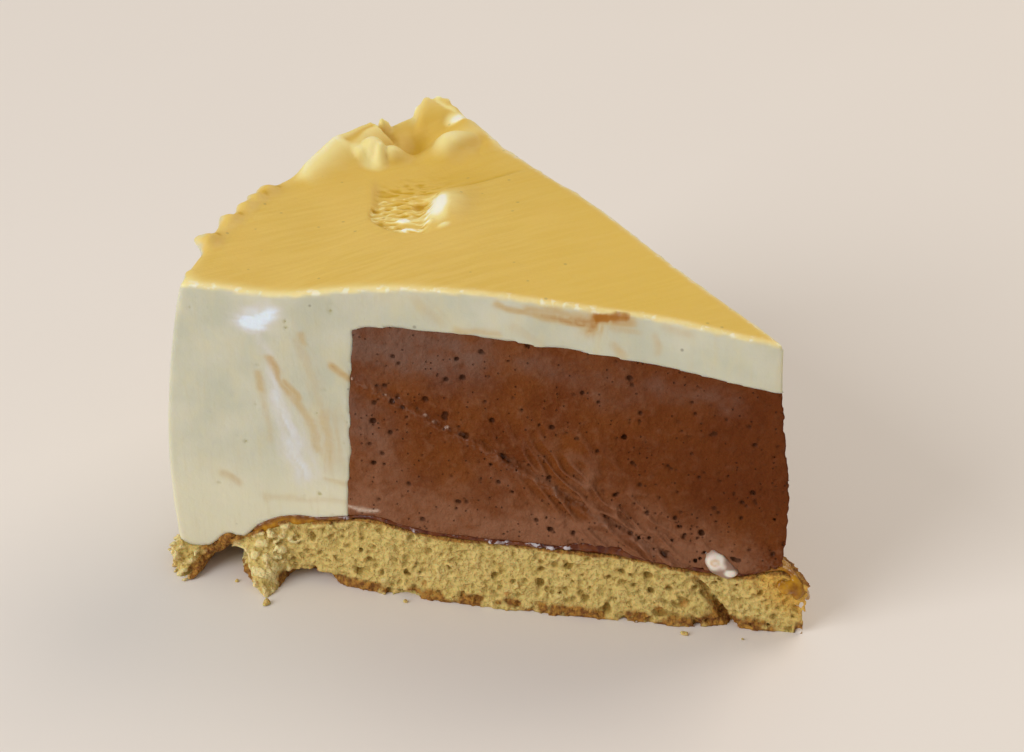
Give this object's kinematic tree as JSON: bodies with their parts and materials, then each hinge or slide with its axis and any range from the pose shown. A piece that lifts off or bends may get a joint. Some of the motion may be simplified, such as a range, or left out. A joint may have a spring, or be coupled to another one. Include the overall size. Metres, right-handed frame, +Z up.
{
  "type": "slice of bavarian cream cake",
  "caption": "Wedge of set cream cake: vanilla cream over and around a chocolate cream insert, a film of jam, and a crumbly sponge base that it stands on.",
  "frame": {"origin": "middle of the slice's bounding box, on the surface the sponge stands on", "axes": "+X along the front cut towards the tip, +Y from the front cut towards the far cut, +Z up"},
  "size_m": [0.1096, 0.0792, 0.0609],
  "materials": {
    "sponge": "open crumb, matt",
    "jam": "wet, glossy",
    "chocolate": "fine bubbles, soft sheen",
    "vanilla": "smooth, soft sheen"
  },
  "bodies": {
    "root": {"sponge_base": "sponge", "jam_film": "jam", "chocolate_cream": "chocolate", "vanilla_cream": "vanilla"}
  },
  "joints": []
}
